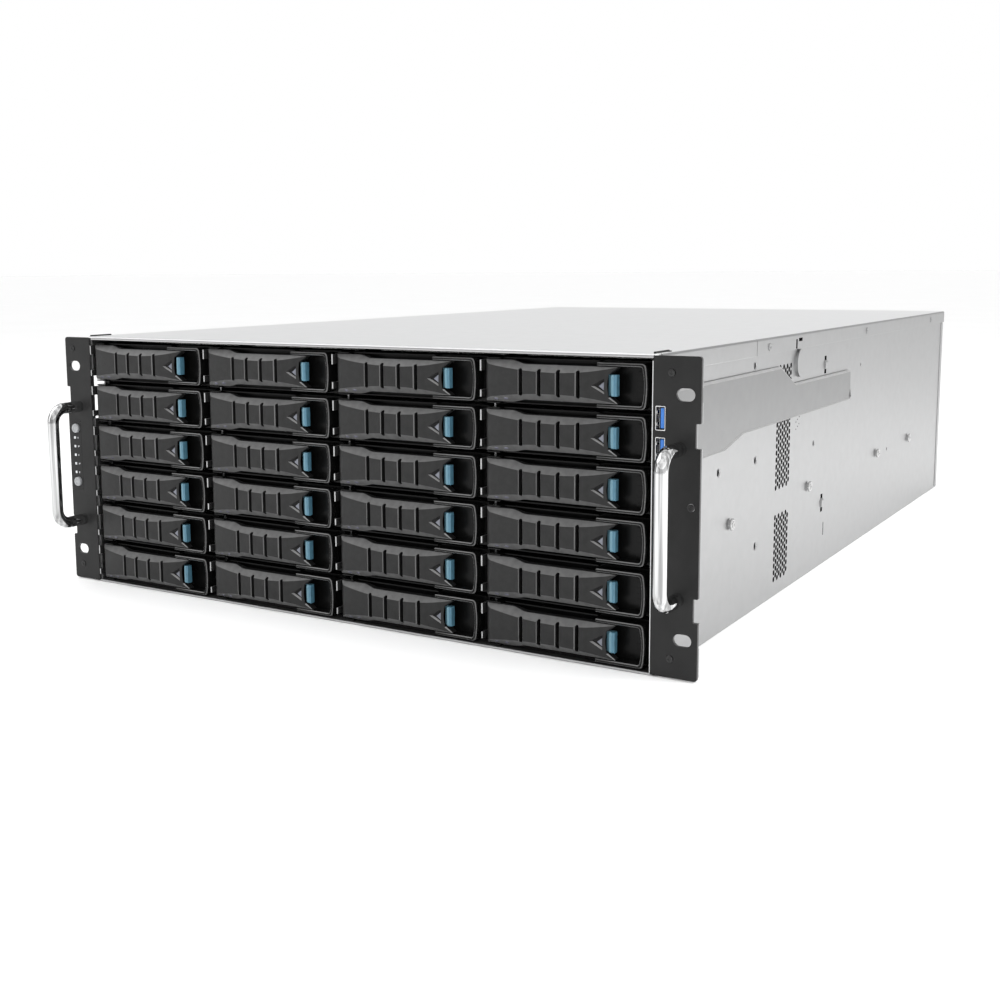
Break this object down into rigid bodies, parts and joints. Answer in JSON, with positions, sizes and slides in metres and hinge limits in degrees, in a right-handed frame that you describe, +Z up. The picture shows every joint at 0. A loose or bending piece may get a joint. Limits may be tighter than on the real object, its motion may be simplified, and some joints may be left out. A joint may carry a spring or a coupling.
{
  "type": "rackmount server chassis",
  "caption": "Four-unit rackmount storage server chassis with a front grid of pull-out drive trays, rack ears with pull handles, a fan wall and slide-in power supplies.",
  "frame": {"origin": "underside of the base pan, midway across, in the plane where the ears meet the rack", "axes": "+X to the right seen from the front, +Y to the rear along the depth, +Z up"},
  "size_m": [0.4826, 0.7611, 0.177],
  "materials": {
    "galvanised": "satin",
    "ear_black": "satin",
    "handle_chrome": "polished",
    "strip_plastic": "satin",
    "button_grey": "gloss",
    "socket_metal": "satin",
    "circuit_board": "satin",
    "fan_plastic": "matte",
    "supply_case": "satin",
    "tray_charcoal": "fine grain",
    "latch_blue": "satin"
  },
  "bodies": {
    "chassis": {"base_pan": "galvanised", "side_walls": "galvanised", "front_top_cover": "galvanised", "rear_panel": "galvanised", "slot_covers": "galvanised", "left_ear": "ear_black", "right_ear": "ear_black", "pull_handles": "handle_chrome", "control_panel": "strip_plastic", "usb_ports": "socket_metal", "cable_covers": "galvanised", "rail_studs": "galvanised", "cage_dividers": "galvanised", "backplane": "circuit_board", "fan_wall": "fan_plastic", "psu_cage": "galvanised"},
    "rear_cover": {"rear_top_cover": "galvanised"},
    "tray_r1c4": {"tray_r1c4": "tray_charcoal"},
    "lever_r1c4": {"lever_r1c4": "tray_charcoal"},
    "latch_r1c4": {"latch_r1c4": "latch_blue"},
    "tray_r2c4": {"tray_r2c4": "tray_charcoal"},
    "lever_r2c4": {"lever_r2c4": "tray_charcoal"},
    "latch_r2c4": {"latch_r2c4": "latch_blue"},
    "tray_r3c4": {"tray_r3c4": "tray_charcoal"},
    "lever_r3c4": {"lever_r3c4": "tray_charcoal"},
    "latch_r3c4": {"latch_r3c4": "latch_blue"},
    "tray_r4c4": {"tray_r4c4": "tray_charcoal"},
    "lever_r4c4": {"lever_r4c4": "tray_charcoal"},
    "latch_r4c4": {"latch_r4c4": "latch_blue"},
    "tray_r5c4": {"tray_r5c4": "tray_charcoal"},
    "lever_r5c4": {"lever_r5c4": "tray_charcoal"},
    "latch_r5c4": {"latch_r5c4": "latch_blue"},
    "tray_r6c4": {"tray_r6c4": "tray_charcoal"},
    "lever_r6c4": {"lever_r6c4": "tray_charcoal"},
    "latch_r6c4": {"latch_r6c4": "latch_blue"},
    "psu_lower": {"psu_lower": "supply_case"},
    "psu_upper": {"psu_upper": "supply_case"},
    "power_button": {"power_button": "button_grey"},
    "reset_button": {"reset_button": "button_grey"},
    "fan_rotor_left": {"fan_rotor_left": "fan_plastic"},
    "fan_rotor_middle": {"fan_rotor_middle": "fan_plastic"},
    "fan_rotor_right": {"fan_rotor_right": "fan_plastic"},
    "tray_r1c1": {"tray_r1c1": "tray_charcoal"},
    "tray_r1c2": {"tray_r1c2": "tray_charcoal"},
    "tray_r1c3": {"tray_r1c3": "tray_charcoal"},
    "tray_r2c1": {"tray_r2c1": "tray_charcoal"},
    "tray_r2c2": {"tray_r2c2": "tray_charcoal"},
    "tray_r2c3": {"tray_r2c3": "tray_charcoal"},
    "tray_r3c1": {"tray_r3c1": "tray_charcoal"},
    "tray_r3c2": {"tray_r3c2": "tray_charcoal"},
    "tray_r3c3": {"tray_r3c3": "tray_charcoal"},
    "tray_r4c1": {"tray_r4c1": "tray_charcoal"},
    "tray_r4c2": {"tray_r4c2": "tray_charcoal"},
    "tray_r4c3": {"tray_r4c3": "tray_charcoal"},
    "tray_r5c1": {"tray_r5c1": "tray_charcoal"},
    "tray_r5c2": {"tray_r5c2": "tray_charcoal"},
    "tray_r5c3": {"tray_r5c3": "tray_charcoal"},
    "tray_r6c1": {"tray_r6c1": "tray_charcoal"},
    "tray_r6c2": {"tray_r6c2": "tray_charcoal"},
    "tray_r6c3": {"tray_r6c3": "tray_charcoal"}
  },
  "joints": [
    {"name": "cover_lift", "type": "slide", "parent": "chassis", "child": "rear_cover", "axis": [0, 0, 1], "range_m": [0, 0.2]},
    {"name": "lever_swing_r1c4", "type": "hinge", "parent": "tray_r1c4", "child": "lever_r1c4", "pos_m": [0.11375, 0.0024, 0.1586], "axis": [0, 0, -1], "range_deg": [0, 55]},
    {"name": "release_slide_r1c4", "type": "slide", "parent": "lever_r1c4", "child": "latch_r1c4", "axis": [-1, 0, 0], "range_m": [0, 0.0022], "stiffness_N_per_m": 400},
    {"name": "tray_pull_r1c4", "type": "slide", "parent": "chassis", "child": "tray_r1c4", "axis": [0, -1, 0], "range_m": [0, 0.16]},
    {"name": "lever_swing_r2c4", "type": "hinge", "parent": "tray_r2c4", "child": "lever_r2c4", "pos_m": [0.11375, 0.0024, 0.1298], "axis": [0, 0, -1], "range_deg": [0, 55]},
    {"name": "release_slide_r2c4", "type": "slide", "parent": "lever_r2c4", "child": "latch_r2c4", "axis": [-1, 0, 0], "range_m": [0, 0.0022], "stiffness_N_per_m": 400},
    {"name": "tray_pull_r2c4", "type": "slide", "parent": "chassis", "child": "tray_r2c4", "axis": [0, -1, 0], "range_m": [0, 0.16]},
    {"name": "lever_swing_r3c4", "type": "hinge", "parent": "tray_r3c4", "child": "lever_r3c4", "pos_m": [0.11375, 0.0024, 0.101], "axis": [0, 0, -1], "range_deg": [0, 55]},
    {"name": "release_slide_r3c4", "type": "slide", "parent": "lever_r3c4", "child": "latch_r3c4", "axis": [-1, 0, 0], "range_m": [0, 0.0022], "stiffness_N_per_m": 400},
    {"name": "tray_pull_r3c4", "type": "slide", "parent": "chassis", "child": "tray_r3c4", "axis": [0, -1, 0], "range_m": [0, 0.16]},
    {"name": "lever_swing_r4c4", "type": "hinge", "parent": "tray_r4c4", "child": "lever_r4c4", "pos_m": [0.11375, 0.0024, 0.0722], "axis": [0, 0, -1], "range_deg": [0, 55]},
    {"name": "release_slide_r4c4", "type": "slide", "parent": "lever_r4c4", "child": "latch_r4c4", "axis": [-1, 0, 0], "range_m": [0, 0.0022], "stiffness_N_per_m": 400},
    {"name": "tray_pull_r4c4", "type": "slide", "parent": "chassis", "child": "tray_r4c4", "axis": [0, -1, 0], "range_m": [0, 0.16]},
    {"name": "lever_swing_r5c4", "type": "hinge", "parent": "tray_r5c4", "child": "lever_r5c4", "pos_m": [0.11375, 0.0024, 0.0434], "axis": [0, 0, -1], "range_deg": [0, 55]},
    {"name": "release_slide_r5c4", "type": "slide", "parent": "lever_r5c4", "child": "latch_r5c4", "axis": [-1, 0, 0], "range_m": [0, 0.0022], "stiffness_N_per_m": 400},
    {"name": "tray_pull_r5c4", "type": "slide", "parent": "chassis", "child": "tray_r5c4", "axis": [0, -1, 0], "range_m": [0, 0.16]},
    {"name": "lever_swing_r6c4", "type": "hinge", "parent": "tray_r6c4", "child": "lever_r6c4", "pos_m": [0.11375, 0.0024, 0.0146], "axis": [0, 0, -1], "range_deg": [0, 55]},
    {"name": "release_slide_r6c4", "type": "slide", "parent": "lever_r6c4", "child": "latch_r6c4", "axis": [-1, 0, 0], "range_m": [0, 0.0022], "stiffness_N_per_m": 400},
    {"name": "tray_pull_r6c4", "type": "slide", "parent": "chassis", "child": "tray_r6c4", "axis": [0, -1, 0], "range_m": [0, 0.16]},
    {"name": "psu_pull_lower", "type": "slide", "parent": "chassis", "child": "psu_lower", "axis": [0, 1, 0], "range_m": [0, 0.16]},
    {"name": "psu_pull_upper", "type": "slide", "parent": "chassis", "child": "psu_upper", "axis": [0, 1, 0], "range_m": [0, 0.16]},
    {"name": "power_press", "type": "slide", "parent": "chassis", "child": "power_button", "axis": [0, 1, 0], "range_m": [0, 0.0012], "stiffness_N_per_m": 500},
    {"name": "reset_press", "type": "slide", "parent": "chassis", "child": "reset_button", "axis": [0, 1, 0], "range_m": [0, 0.0012], "stiffness_N_per_m": 500},
    {"name": "fan_spin_left", "type": "hinge", "parent": "chassis", "child": "fan_rotor_left", "pos_m": [-0.132, 0.27, 0.088], "axis": [0, 1, 0], "continuous": true},
    {"name": "fan_spin_middle", "type": "hinge", "parent": "chassis", "child": "fan_rotor_middle", "pos_m": [0, 0.27, 0.088], "axis": [0, 1, 0], "continuous": true},
    {"name": "fan_spin_right", "type": "hinge", "parent": "chassis", "child": "fan_rotor_right", "pos_m": [0.132, 0.27, 0.088], "axis": [0, 1, 0], "continuous": true},
    {"name": "tray_pull_r1c1", "type": "slide", "parent": "chassis", "child": "tray_r1c1", "axis": [0, -1, 0], "range_m": [0, 0.16]},
    {"name": "tray_pull_r1c2", "type": "slide", "parent": "chassis", "child": "tray_r1c2", "axis": [0, -1, 0], "range_m": [0, 0.16]},
    {"name": "tray_pull_r1c3", "type": "slide", "parent": "chassis", "child": "tray_r1c3", "axis": [0, -1, 0], "range_m": [0, 0.16]},
    {"name": "tray_pull_r2c1", "type": "slide", "parent": "chassis", "child": "tray_r2c1", "axis": [0, -1, 0], "range_m": [0, 0.16]},
    {"name": "tray_pull_r2c2", "type": "slide", "parent": "chassis", "child": "tray_r2c2", "axis": [0, -1, 0], "range_m": [0, 0.16]},
    {"name": "tray_pull_r2c3", "type": "slide", "parent": "chassis", "child": "tray_r2c3", "axis": [0, -1, 0], "range_m": [0, 0.16]},
    {"name": "tray_pull_r3c1", "type": "slide", "parent": "chassis", "child": "tray_r3c1", "axis": [0, -1, 0], "range_m": [0, 0.16]},
    {"name": "tray_pull_r3c2", "type": "slide", "parent": "chassis", "child": "tray_r3c2", "axis": [0, -1, 0], "range_m": [0, 0.16]},
    {"name": "tray_pull_r3c3", "type": "slide", "parent": "chassis", "child": "tray_r3c3", "axis": [0, -1, 0], "range_m": [0, 0.16]},
    {"name": "tray_pull_r4c1", "type": "slide", "parent": "chassis", "child": "tray_r4c1", "axis": [0, -1, 0], "range_m": [0, 0.16]},
    {"name": "tray_pull_r4c2", "type": "slide", "parent": "chassis", "child": "tray_r4c2", "axis": [0, -1, 0], "range_m": [0, 0.16]},
    {"name": "tray_pull_r4c3", "type": "slide", "parent": "chassis", "child": "tray_r4c3", "axis": [0, -1, 0], "range_m": [0, 0.16]},
    {"name": "tray_pull_r5c1", "type": "slide", "parent": "chassis", "child": "tray_r5c1", "axis": [0, -1, 0], "range_m": [0, 0.16]},
    {"name": "tray_pull_r5c2", "type": "slide", "parent": "chassis", "child": "tray_r5c2", "axis": [0, -1, 0], "range_m": [0, 0.16]},
    {"name": "tray_pull_r5c3", "type": "slide", "parent": "chassis", "child": "tray_r5c3", "axis": [0, -1, 0], "range_m": [0, 0.16]},
    {"name": "tray_pull_r6c1", "type": "slide", "parent": "chassis", "child": "tray_r6c1", "axis": [0, -1, 0], "range_m": [0, 0.16]},
    {"name": "tray_pull_r6c2", "type": "slide", "parent": "chassis", "child": "tray_r6c2", "axis": [0, -1, 0], "range_m": [0, 0.16]},
    {"name": "tray_pull_r6c3", "type": "slide", "parent": "chassis", "child": "tray_r6c3", "axis": [0, -1, 0], "range_m": [0, 0.16]}
  ]
}
